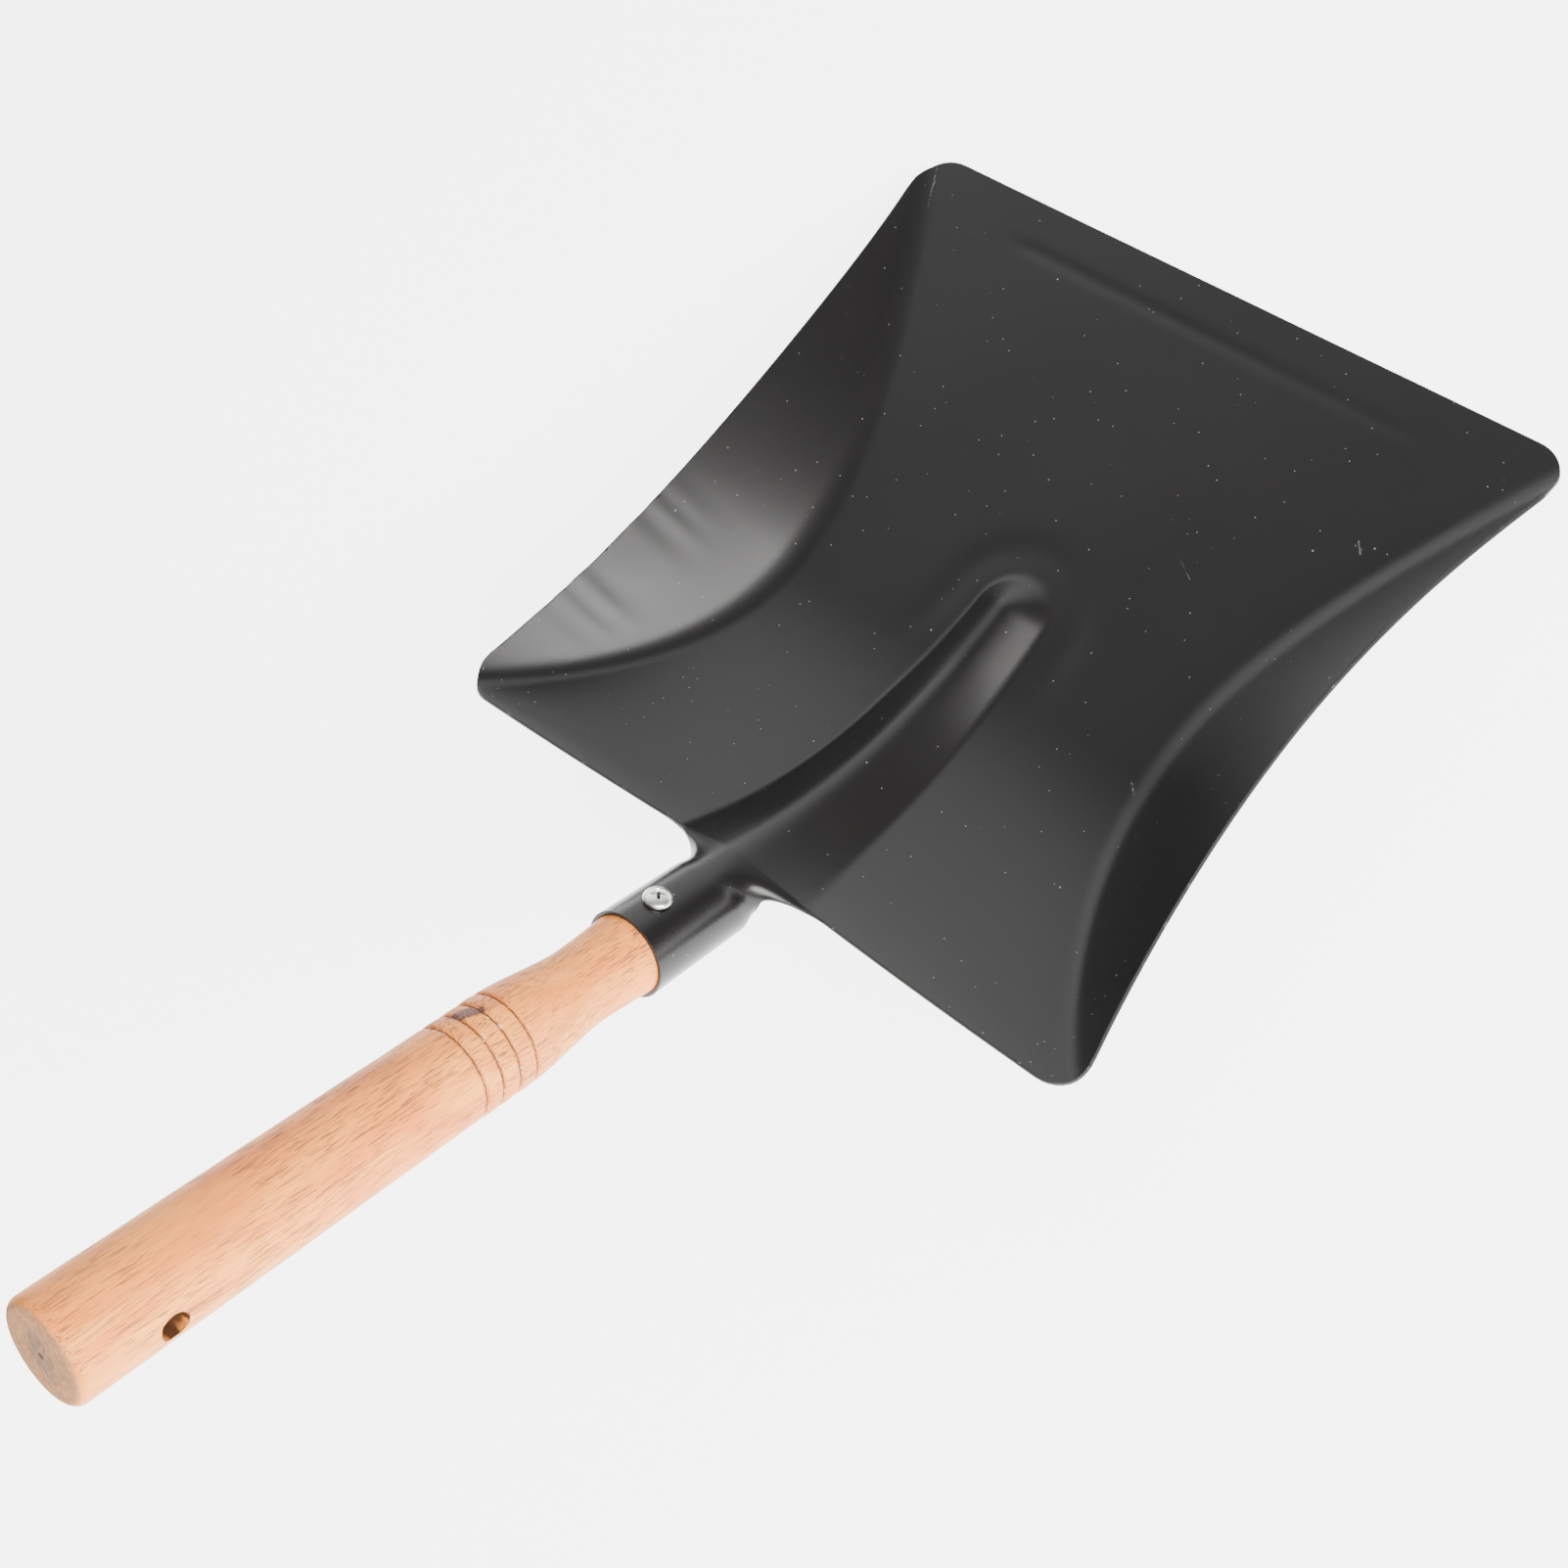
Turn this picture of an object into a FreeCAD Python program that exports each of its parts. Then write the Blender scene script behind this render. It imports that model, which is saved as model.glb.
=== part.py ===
"""Small hand shovel: a one-piece pressed steel blade with a rolled socket, a turned handle, one screw.

X runs across the blade, +Y points to its front edge, +Z is up. The origin is at the middle of the
underside of the whole shovel's box. Every outline is first drawn in a drafting frame, whose origin
is on the upper face of the blade's flat floor, level with the rear corners; place() then moves it.
"""
import FreeCAD
import Part

import math
import os

Vector = FreeCAD.Vector

# Blade, millimetres
SHEET = 1.0                # thickness of the steel sheet
BLADE_LENGTH = 225.0       # rear corners to front edge
FRONT_HALF = 115.0         # half the width at the front edge
REAR_HALF = 112.0          # half the width at the rear corners
WAIST_HALF = 99.5          # half the width at mid-length
RIM_HEIGHT = (37.0, 32.0, 27.5, 21.5, 11.5, 0.0)       # at even stations, rear to front
CREASE_HALF = (110.0, 78.0, 66.5, 73.5, 92.0, 116.0)   # half the floor's width at those stations
CREASE_SOFTNESS = 4.5      # half the width of the soft bend between floor and wall
REAR_RISE = 37.0           # height of the floor at the rear edge
REAR_CROWN = 4.0           # how much higher the rear edge is at its middle
REAR_BOW = 3.3             # how far the rear edge's middle stands forward
FLAT_START = 88.0          # where the flat floor begins
FLOOR_POWER = 2.0          # shape of the floor's rise behind it
FRONT_CORNER = 14.0
REAR_CORNER = 12.0
UNDERSIDE_TRIM = 0.05      # taken off the underside to make its flat part one plane

# Rib pressed into the floor, from the socket to a round nose
RIB_NOSE_Y = 108.0
RIB_NOSE_REACH = 12.0
RIB_NOSE_HEIGHT = 6.4
RIB_TOP = 52.4             # height of its crest at the rear edge
RIB_FADE_Y = 90.0          # where the crest levels out
CREST_POWER = 1.7          # shape of the crest's fall
CREST_ROUND = 3.0          # how round the crest is between two flat flanks
RIB_HALF_FRONT = 11.5      # half its width at the foot, by the nose
RIB_WIDENING = 7.5         # how much wider it gets towards the rear
RIB_FLARE = 4.0            # and how much wider still at the neck
RIB_FOOT_REAR = 1.6        # softness of its foot
RIB_FOOT_FRONT = 0.8
RIB_DRIFT = 2.0            # how far its nose stands to the right
RIB_DRIFT_Y = 65.0         # where that begins

# Shallow line coined into the upper face behind the front edge
BEAD_SETBACK = 15.0
BEAD_HALF = 62.0
BEAD_DEPTH = 0.4
BEAD_WIDTH = 3.0

# Socket rolled from the same sheet, and the handle's axis
AXIS_ANGLE = math.radians(37.0)
AXIS_HEIGHT = 37.1         # where the axis crosses the plane of the rear corners
SOCKET_STRIP = 0.26        # share of the blade's width that runs on into the socket
SOCKET_START = -4.1        # distances along the axis from here on
SOCKET_BLEND = 18.0
NECK_FILLET = 14.0         # length of the round corners between the rear edge and the neck
NECK_HALF = 12.0           # half the flat width that is left behind them
SOCKET_NECK = 0.56         # share of the full turn that the sheet takes at the neck
SOCKET_WINGS = 4.0         # where the strip starts to widen into its two wings
SOCKET_CLOSED = 12.5       # where the wings close the tube
SOCKET_MOUTH = 45.5
SOCKET_R_START = 11.9
SOCKET_R_MOUTH = 12.7
SEAM_GAP = 1.0

# Handle
TENON_START = 14.0
TENON_CLEARANCE = 0.15
WAIST_T = 64.0
WAIST_R = 10.7
GROOVE_T = 89.4            # first of four turned grooves
GROOVE_STEP = 5.65
GROOVE_COUNT = 4
GROOVE_DEPTH = 0.9
GROOVE_HALF = 0.9
GRIP_R_START = 13.1
GRIP_R_END = 14.0
HANDLE_END = 225.0
END_ROUND = 2.5
HANG_T = 200.0
HANG_R = 3.5

# Screw
SCREW_T = 34.5
SCREW_HEAD_R = 4.0
SCREW_HEAD_H = 2.5
SCREW_SHANK_R = 1.75
SCREW_THREAD_R = 2.1
SCREW_PITCH = 1.5
SCREW_LENGTH = 16.0
SCREW_TIP = 3.0
SCREW_HOLE_R = 2.3
RECESS_ARM = 2.3
RECESS_WIDTH = 0.9
RECESS_DEPTH = 1.6

AXIS = Vector(0, -math.cos(AXIS_ANGLE), math.sin(AXIS_ANGLE))
AXIS_UP = Vector(0, math.sin(AXIS_ANGLE), math.cos(AXIS_ANGLE))
AXIS_BASE = Vector(0, 0, AXIS_HEIGHT)


def through(values, q):
    """Smooth curve through evenly spaced values, for q from 0 to 1 (Lagrange's formula)."""
    last = len(values) - 1
    total = 0.0
    for i, value in enumerate(values):
        for j in range(last + 1):
            if j != i:
                value *= (q * last - j) / (i - j)
        total += value
    return total


# ---------- the blade's upper face as a height over the drafting plane ----------
def rim_half(y):
    """Half the blade's width at y: both side rims bow inward."""
    p = y / BLADE_LENGTH - 0.5
    bow = 2 * (FRONT_HALF + REAR_HALF) - 4 * WAIST_HALF
    return WAIST_HALF + bow * p * p + (FRONT_HALF - REAR_HALF) * p


def floor_fall(y):
    """Share of the floor's rear rise that is left at y: 1 at the rear edge, 0 on the flat."""
    return max(0.0, 1 - y / FLAT_START) ** FLOOR_POWER


def crest_height(y):
    """Height of the rib's crest."""
    fall = max(0.0, 1 - y / RIB_FADE_Y) ** CREST_POWER
    return RIB_NOSE_HEIGHT + (RIB_TOP - RIB_NOSE_HEIGHT) * fall


def bend(past, soft):
    """0 before a bend, rising at 1 in 1 after it; soft is half the width of the bend."""
    curve = min(max(past + soft, 0.0), 2 * soft)
    return curve * curve / (4 * soft) + max(0.0, past - soft)


def wall(x, y):
    """Height of the flared side wall above the floor."""
    q = y / BLADE_LENGTH
    crease = through(CREASE_HALF, q)
    full = through(RIM_HEIGHT, q) - REAR_RISE * floor_fall(y)
    share = bend(abs(x) - crease, CREASE_SOFTNESS) / bend(rim_half(y) - crease, CREASE_SOFTNESS)
    return full * share


def drift(y):
    """How far the rib's middle stands to the right of the blade's."""
    share = min(max((y - RIB_DRIFT_Y) / (RIB_NOSE_Y - RIB_DRIFT_Y), 0.0), 1.0)
    return RIB_DRIFT * share * share * (3 - 2 * share)


def rib(x, y):
    """Height of the pressed rib above the floor."""
    middle = (REAR_RISE + REAR_CROWN) * floor_fall(y)
    back = max(0.0, 1 - y / RIB_NOSE_Y)
    half = RIB_HALF_FRONT + RIB_WIDENING * back + RIB_FLARE * back ** 6
    foot = RIB_FOOT_FRONT + (RIB_FOOT_REAR - RIB_FOOT_FRONT) * back
    beyond = max(0.0, y - RIB_NOSE_Y) / RIB_NOSE_REACH * half
    fall = math.hypot(x - drift(y), beyond, CREST_ROUND) - CREST_ROUND
    fall /= math.hypot(half, CREST_ROUND) - CREST_ROUND
    return bend((crest_height(y) - middle) * (1 - fall), foot)


def bead(x, y):
    """Depth of the coined line behind the front edge."""
    along = max(0.0, abs(x) - BEAD_HALF) / 8.0
    across = (y - BLADE_LENGTH + BEAD_SETBACK) / BEAD_WIDTH
    return BEAD_DEPTH * math.exp(-across * across - along * along)


def height(x, y):
    """Height of the blade's upper face, without the coined line."""
    crown = REAR_CROWN * (1 - (x / rim_half(y)) ** 2)
    return (REAR_RISE + crown) * floor_fall(y) + wall(x, y) + rib(x, y)


def corner(s, radius):
    """How far a rounded corner pulls an end edge back, at s from 0 (middle) to 1 (rim)."""
    start = 1 - radius / FRONT_HALF
    turn = max(0.0, (abs(s) - start) / (1 - start))
    return radius * (1 - math.sqrt(max(0.0, 1 - turn * turn)))


def blade_point(s, v, depth):
    """Point of the blade: s across from -1 to 1, v from rear to front, depth below the upper face."""
    rear = REAR_BOW * (1 - abs(s)) ** 2 + corner(s, REAR_CORNER)
    front = BLADE_LENGTH - corner(s, FRONT_CORNER)
    y = rear + v * (front - rear)
    x = s * rim_half(y)
    step = 0.05
    slope_x = (height(x + step, y) - height(x - step, y)) / (2 * step)
    slope_y = (height(x, y + step) - height(x, y - step)) / (2 * step)
    normal = Vector(-slope_x, -slope_y, 1).normalize()
    line = bead(x, y) if depth == 0 else 0.0
    return Vector(x, y, height(x, y) - line) - normal * depth


def socket_radius(t):
    """Outside radius of the socket at t."""
    v = (t - SOCKET_START) / (SOCKET_MOUTH - SOCKET_START)
    return SOCKET_R_START + v * (SOCKET_R_MOUTH - SOCKET_R_START)


def wrapped(t):
    """Share of the full turn that the sheet takes around the axis at t."""
    closing = min(max((t - SOCKET_WINGS) / (SOCKET_CLOSED - SOCKET_WINGS), 0.0), 1.0)
    return SOCKET_NECK + (1 - SOCKET_NECK) * closing * closing * (3 - 2 * closing)


def neck_share(t):
    """Half the strip's flat width at t, as a share of the blade's half width at the rear edge."""
    past = min((t - SOCKET_START) / NECK_FILLET, 1.0)
    narrow = NECK_HALF / rim_half(0)
    return narrow + (SOCKET_STRIP - narrow) * (1 - math.sqrt(past * (2 - past)))


def socket_point(u, v, depth):
    """Point of the socket: u around it from edge to edge, v from the blade to the mouth."""
    t = SOCKET_START + v * (SOCKET_MOUTH - SOCKET_START)
    r = socket_radius(t) - depth
    angle = u * wrapped(t) * (math.pi - SEAM_GAP / 2 / SOCKET_R_MOUTH)
    shift = (1 - v) * r * math.cos(angle) * math.tan(AXIS_ANGLE)
    round_point = AXIS_BASE + AXIS * (t + shift) + AXIS_UP * (r * math.cos(angle))
    round_point += Vector(r * math.sin(angle), 0, 0)
    flat_point = blade_point(u * neck_share(t), 0, depth) + AXIS * (t - SOCKET_START)
    rolled = min((t - SOCKET_START) / SOCKET_BLEND, 1.0)
    return flat_point + (round_point - flat_point) * rolled * rolled * (3 - 2 * rolled)


# ---------- building ----------
def steps(start, end, count):
    """Evenly spaced values, both ends included."""
    return [start + (end - start) * i / (count - 1) for i in range(count)]


def clamped(count, degree):
    """Knots and multiplicities of a clamped spline with this many poles."""
    spans = count - degree
    return list(range(spans + 1)), [degree + 1] + [1] * (spans - 1) + [degree + 1]


def skin(rows):
    """Spline face over rows of poles; two rows make a ruled strip."""
    degree_u = min(3, len(rows) - 1)
    degree_v = min(3, len(rows[0]) - 1)
    knots_u, mults_u = clamped(len(rows), degree_u)
    knots_v, mults_v = clamped(len(rows[0]), degree_v)
    surface = Part.BSplineSurface()
    surface.buildFromPolesMultsKnots(rows, mults_u, mults_v, knots_u, knots_v,
                                     False, False, degree_u, degree_v)
    return surface.toShape()


def sheet(point, across, along, open_sides):
    """Both faces of a sheet patch, and its thickness strip on each open side."""
    upper = [[point(a, b, 0.0) for a in across] for b in along]
    lower = [[point(a, b, SHEET) for a in across] for b in along]
    sides = {
        "start": (upper[0], lower[0]),
        "end": (upper[-1], lower[-1]),
        "low": ([row[0] for row in upper], [row[0] for row in lower]),
        "high": ([row[-1] for row in upper], [row[-1] for row in lower]),
    }
    return [skin(upper), skin(lower)] + [skin(list(sides[name])) for name in open_sides]


def single(shape):
    """The one solid of a boolean's result."""
    if len(shape.Solids) != 1:
        raise ValueError("expected one solid, got " + str(len(shape.Solids)))
    return shape.Solids[0]


def radial(t, r, angle=0.0):
    """Point at distance t along the handle's axis and r from it; angle 0 is the upper side."""
    return AXIS_BASE + AXIS * t + AXIS_UP * (r * math.cos(angle)) + Vector(r * math.sin(angle), 0, 0)


def make_blade():
    """Blade and socket: one sheet, with the screw's clearance hole."""
    # Rows are closer together over the bead.
    along = steps(0, 0.88, 28) + steps(0.895, 0.97, 6) + [0.985, 1.0]
    faces = sheet(blade_point, steps(-1, -SOCKET_STRIP, 17), along, ("start", "end", "low"))
    faces += sheet(blade_point, steps(-SOCKET_STRIP, SOCKET_STRIP, 29), along, ("end",))
    faces += sheet(blade_point, steps(SOCKET_STRIP, 1, 17), along, ("start", "end", "high"))
    back = steps(0, 0.4, 13) + steps(0.46, 1, 8)
    faces += sheet(socket_point, steps(-1, 1, 29), back, ("end", "low", "high"))
    shell = Part.Shell(faces)
    shell.sewShape()
    blade = Part.Solid(shell)
    if blade.Volume < 0:
        blade.reverse()
    hole = Part.makeCylinder(SCREW_HOLE_R, 2 * SOCKET_R_MOUTH, radial(SCREW_T, 0), AXIS_UP)
    below = Part.makeBox(2 * FRONT_HALF, BLADE_LENGTH, SHEET,
                         Vector(-FRONT_HALF, 0, UNDERSIDE_TRIM - 2 * SHEET))
    return single(blade.cut(hole).cut(below))


def spin(profile):
    """Solid of revolution about the handle's axis from a closed row of edges."""
    face = Part.Face(Part.Wire(profile))
    return face.revolve(AXIS_BASE, AXIS, 360)


def grip_radius(t):
    """Radius of the grip behind the grooves."""
    start = GROOVE_T + GROOVE_STEP * (GROOVE_COUNT - 1)
    return GRIP_R_START + (GRIP_R_END - GRIP_R_START) * max(0.0, t - start) / (HANDLE_END - start)


def make_handle(screw):
    """Turned handle: tenon, waist, four grooves, tapered grip with a rounded end, hanging hole."""
    tenon_r = socket_radius(TENON_START) - SHEET - TENON_CLEARANCE
    mouth_r = socket_radius(SOCKET_MOUTH) - SHEET - TENON_CLEARANCE
    points = [(TENON_START, 0), (TENON_START, tenon_r - 1), (TENON_START + 1, tenon_r),
              (SOCKET_MOUTH, mouth_r)]
    edges = [Part.makeLine(radial(*a), radial(*b)) for a, b in zip(points, points[1:])]
    cove = Part.BSplineCurve()
    first_groove = (GROOVE_T - GROOVE_HALF, GRIP_R_START)
    cove_points = [points[-1], (WAIST_T, WAIST_R), (WAIST_T + 13, WAIST_R + 1.1), first_groove]
    cove.interpolate([radial(*p) for p in cove_points])
    edges.append(cove.toShape())
    outline = [first_groove]
    for k in range(GROOVE_COUNT):
        t = GROOVE_T + k * GROOVE_STEP
        outline += [(t, GRIP_R_START - GROOVE_DEPTH), (t + GROOVE_HALF, GRIP_R_START)]
        if k < GROOVE_COUNT - 1:
            outline.append((t + GROOVE_STEP - GROOVE_HALF, GRIP_R_START))
    outline.append((HANDLE_END - END_ROUND, grip_radius(HANDLE_END - END_ROUND)))
    edges += [Part.makeLine(radial(*a), radial(*b)) for a, b in zip(outline, outline[1:])]
    end_r = outline[-1][1]
    bend = END_ROUND * (1 - math.sqrt(0.5))
    edges.append(Part.Arc(radial(HANDLE_END - END_ROUND, end_r), radial(HANDLE_END - bend, end_r - bend),
                          radial(HANDLE_END, end_r - END_ROUND)).toShape())
    edges.append(Part.makeLine(radial(HANDLE_END, end_r - END_ROUND), radial(HANDLE_END, 0)))
    edges.append(Part.makeLine(radial(HANDLE_END, 0), radial(TENON_START, 0)))
    handle = spin(edges)
    hole_start = radial(HANG_T, 0) - Vector(2 * GRIP_R_END, 0, 0)
    hole = Part.makeCylinder(HANG_R, 4 * GRIP_R_END, hole_start, Vector(1, 0, 0))
    return single(handle.cut(hole).cut(screw))


def make_screw():
    """Pan-head screw with a cross recess; its thread is a row of ridges."""
    base = radial(SCREW_T, socket_radius(SCREW_T))

    def at(r, h):
        return base + AXIS * r + AXIS_UP * h

    head = [Part.makeLine(at(0, 0), at(SCREW_HEAD_R - 0.2, 0)),
            Part.makeLine(at(SCREW_HEAD_R - 0.2, 0), at(SCREW_HEAD_R, 0.3)),
            Part.makeLine(at(SCREW_HEAD_R, 0.3), at(SCREW_HEAD_R, 0.9)),
            Part.Arc(at(SCREW_HEAD_R, 0.9), at(0.72 * SCREW_HEAD_R, 0.84 * SCREW_HEAD_H),
                     at(0, SCREW_HEAD_H)).toShape(),
            Part.makeLine(at(0, SCREW_HEAD_H), at(0, 0))]
    solid = Part.Face(Part.Wire(head)).revolve(base, AXIS_UP, 360)
    shank = [(0, 0.5), (SCREW_SHANK_R, 0.5)]
    thread_start = 2.0
    ridges = int((SCREW_LENGTH - SCREW_TIP - thread_start) / SCREW_PITCH)
    for k in range(ridges):
        top = -thread_start - k * SCREW_PITCH
        shank += [(SCREW_SHANK_R, top), (SCREW_THREAD_R, top - 0.5), (SCREW_SHANK_R, top - 1.0)]
    shank += [(SCREW_SHANK_R, -SCREW_LENGTH + SCREW_TIP), (0, -SCREW_LENGTH), (0, 0.5)]
    outline = Part.makePolygon([at(*p) for p in shank])
    solid = solid.fuse(Part.Face(outline).revolve(base, AXIS_UP, 360))
    for turn in (45, 135):
        arm = Part.makeBox(2 * RECESS_ARM, RECESS_WIDTH, 2 * RECESS_DEPTH,
                           Vector(-RECESS_ARM, -RECESS_WIDTH / 2, SCREW_HEAD_H - RECESS_DEPTH))
        arm.rotate(Vector(0, 0, 0), Vector(0, 0, 1), turn)
        arm.rotate(Vector(0, 0, 0), Vector(1, 0, 0), -math.degrees(AXIS_ANGLE))
        arm.translate(base)
        solid = solid.cut(arm)
    return single(solid.removeSplitter())


def place(shapes):
    """Moves the drafting frame's origin to the bottom centre of the whole shovel's box."""
    box = FreeCAD.BoundBox()
    for shape in shapes.values():
        box.add(shape.optimalBoundingBox(False))
    for shape in shapes.values():
        shape.translate(Vector(-box.Center.x, -box.Center.y, -box.ZMin))


screw = make_screw()
nodes = {"blade": make_blade(), "handle": make_handle(screw), "socket_screw": screw}
place(nodes)
os.makedirs("parts", exist_ok=True)
for name, shape in nodes.items():
    box = shape.optimalBoundingBox(False)
    print(name, shape.ShapeType, "valid", shape.isValid(), "solids", len(shape.Solids),
          "volume", round(shape.Volume), "centre", [round(c, 2) for c in shape.CenterOfMass],
          "box", [round(c, 2) for c in (box.XMin, box.YMin, box.ZMin, box.XMax, box.YMax, box.ZMax)])
    shape.exportStep("parts/" + name + ".step")
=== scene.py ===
"""Short scoop shovel: the pressed blade, the turned handle, its screw and a plain studio."""
import math

import bmesh
import bpy
import numpy as np
from mathutils import Matrix, Vector, noise


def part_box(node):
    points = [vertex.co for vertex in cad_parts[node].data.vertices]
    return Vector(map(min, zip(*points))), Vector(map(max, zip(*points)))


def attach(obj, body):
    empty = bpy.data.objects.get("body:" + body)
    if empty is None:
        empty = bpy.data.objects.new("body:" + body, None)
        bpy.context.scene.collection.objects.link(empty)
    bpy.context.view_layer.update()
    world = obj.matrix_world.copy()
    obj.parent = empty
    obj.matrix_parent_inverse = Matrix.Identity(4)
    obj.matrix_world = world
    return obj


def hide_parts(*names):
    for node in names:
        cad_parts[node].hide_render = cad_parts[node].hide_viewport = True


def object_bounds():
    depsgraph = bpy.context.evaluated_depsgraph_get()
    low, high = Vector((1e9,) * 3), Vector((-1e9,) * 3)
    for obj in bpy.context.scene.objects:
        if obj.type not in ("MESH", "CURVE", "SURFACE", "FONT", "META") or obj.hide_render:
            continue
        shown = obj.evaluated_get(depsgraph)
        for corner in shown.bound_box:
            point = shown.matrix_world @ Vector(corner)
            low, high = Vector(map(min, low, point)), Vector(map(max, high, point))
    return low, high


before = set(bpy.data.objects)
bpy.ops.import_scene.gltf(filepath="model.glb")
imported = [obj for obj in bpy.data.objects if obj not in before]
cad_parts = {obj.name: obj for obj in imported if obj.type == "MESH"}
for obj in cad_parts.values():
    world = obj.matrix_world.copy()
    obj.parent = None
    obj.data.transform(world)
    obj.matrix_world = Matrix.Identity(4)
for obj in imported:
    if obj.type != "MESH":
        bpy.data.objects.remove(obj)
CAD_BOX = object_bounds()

bl_info = {
    "name": "Scoop shovel",
    "version": (1, 0, 0),
    "blender": (4, 5, 0),
    "location": "View3D > Sidebar > Shovel",
    "description": "Builds a short scoop shovel around its packed frame",
    "category": "Object",
}

MM = 0.001


# ---------- settings ----------
def length(name, description, default):
    """A length property, in metres."""
    return bpy.props.FloatProperty(name=name, description=description, default=default,
                                   unit="LENGTH", precision=5)


def colour(name, description, default):
    """A colour property."""
    return bpy.props.FloatVectorProperty(name=name, description=description, default=default,
                                         subtype="COLOR", size=3, min=0.0, max=1.0)


class BladeSizes(bpy.types.PropertyGroup):
    """Sizes of the pressed blade and its socket."""
    sheet: length("Sheet", "Thickness of the steel", 1.0 * MM)
    reach: length("Length", "Rear corners to front edge", 225 * MM)
    front_half: length("Front half", "Half the width at the front edge", 115 * MM)
    rear_half: length("Rear half", "Half the width at the rear corners", 112 * MM)
    waist_half: length("Waist half", "Half the width at mid-length", 99.5 * MM)
    crease: length("Crease", "Half the width of the soft bend between floor and wall", 4.0 * MM)
    rear_rise: length("Rear rise", "Height of the floor at the rear edge", 37 * MM)
    rear_crown: length("Rear crown", "Extra height at the middle of the rear edge", 4 * MM)
    rear_bow: length("Rear bow", "How far the rear edge's middle stands forward", 3.3 * MM)
    flat_start: length("Flat start", "Where the flat floor begins", 88 * MM)
    front_corner: length("Front corner", "Corner radius at the front", 14 * MM)
    rear_corner: length("Rear corner", "Corner radius at the rear", 12 * MM)
    rib_nose: length("Rib nose", "Where the rib's round nose begins", 108 * MM)
    rib_reach: length("Rib reach", "Length of the rib's nose", 12 * MM)
    rib_low: length("Rib low", "Height of the rib at its nose", 6.4 * MM)
    rib_top: length("Rib top", "Height of the crest at the rear edge", 52.4 * MM)
    rib_fade: length("Rib fade", "Where the crest levels out", 90 * MM)
    rib_round: length("Rib crest", "How round the crest is between two flat flanks", 3.6 * MM)
    rib_front: length("Rib front", "Half width of the rib's foot at its nose", 11.5 * MM)
    rib_wider: length("Rib widening", "How much wider the rib gets towards the rear", 7.5 * MM)
    rib_flare: length("Rib flare", "How much wider still it gets at the neck", 4.0 * MM)
    rib_drift: length("Rib drift", "How far the rib's nose stands to the right", 2.0 * MM)
    foot_rear: length("Rib foot rear", "Softness of the rib's foot at the socket", 1.2 * MM)
    foot_front: length("Rib foot front", "Softness of the rib's foot at its nose", 0.6 * MM)
    bead_back: length("Bead setback", "Front edge to the shallow bead", 15 * MM)
    bead_half: length("Bead half", "Half the length of the bead", 62 * MM)
    bead_deep: length("Bead depth", "Depth of the bead", 0.25 * MM)
    bead_wide: length("Bead width", "Width of the bead", 2.4 * MM)
    mouth: length("Mouth", "Socket mouth along the axis", 45.5 * MM)
    start_r: length("Socket start radius", "Outside radius at the blade", 11.9 * MM)
    mouth_r: length("Socket mouth radius", "Outside radius at the mouth", 12.7 * MM)


class HandleSizes(bpy.types.PropertyGroup):
    """Sizes of the turned handle."""
    tenon: length("Tenon", "Where the tenon starts inside the socket", 14 * MM)
    clearance: length("Clearance", "Gap between tenon and socket", 0.15 * MM)
    waist: length("Waist", "Distance of the waist along the axis", 64 * MM)
    waist_r: length("Waist radius", "Radius at the waist", 10.7 * MM)
    groove: length("Groove", "Distance of the first groove", 89.4 * MM)
    groove_step: length("Groove step", "Distance between grooves", 5.65 * MM)
    groove_deep: length("Groove depth", "Depth of a groove", 0.9 * MM)
    groove_half: length("Groove half", "Half the width of a groove", 0.9 * MM)
    grip_r: length("Grip radius", "Radius behind the grooves", 13.1 * MM)
    end_r: length("End radius", "Radius at the end", 13.95 * MM)
    end: length("End", "Distance of the end face", 225 * MM)
    end_round: length("End rounding", "Radius of the end's edge", 2.5 * MM)
    hang: length("Hanging hole", "Distance of the hanging hole", 200 * MM)
    hang_r: length("Hole radius", "Radius of the hanging hole", 3.5 * MM)


class ScrewSizes(bpy.types.PropertyGroup):
    """Sizes of the socket screw."""
    place: length("Place", "Distance along the axis", 34.5 * MM)
    head_r: length("Head radius", "Radius of the head", 4.0 * MM)
    head_h: length("Head height", "Height of the domed head", 2.5 * MM)
    arm: length("Recess arm", "Reach of the cross recess", 2.3 * MM)
    slot: length("Recess width", "Width of the cross recess", 0.95 * MM)
    deep: length("Recess depth", "Depth of the cross recess", 1.6 * MM)
    shank_r: length("Shank radius", "Radius of the shank", 1.75 * MM)
    thread_r: length("Thread radius", "Radius over the thread", 2.1 * MM)
    shank: length("Shank", "Length below the head", 16 * MM)


class Finishes(bpy.types.PropertyGroup):
    """Colours of the shovel and of the studio."""
    coat: colour("Coat", "Black powder coat", (0.0049, 0.0045, 0.0045))
    dust: colour("Dust", "Pale dust in the coat", (0.62, 0.60, 0.57))
    wood: colour("Wood", "Light early wood", (0.97, 0.345, 0.055))
    grain: colour("Grain", "Darker late wood", (0.80, 0.215, 0.030))
    pore: colour("Pore", "Open pores and turned lines", (0.22, 0.085, 0.035))
    knot: colour("Knot", "Heart of the knot", (0.05, 0.028, 0.022))
    zinc: colour("Zinc", "Bright zinc plate", (0.80, 0.80, 0.77))
    floor: colour("Floor", "Studio floor", (0.56, 0.56, 0.555))


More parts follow.
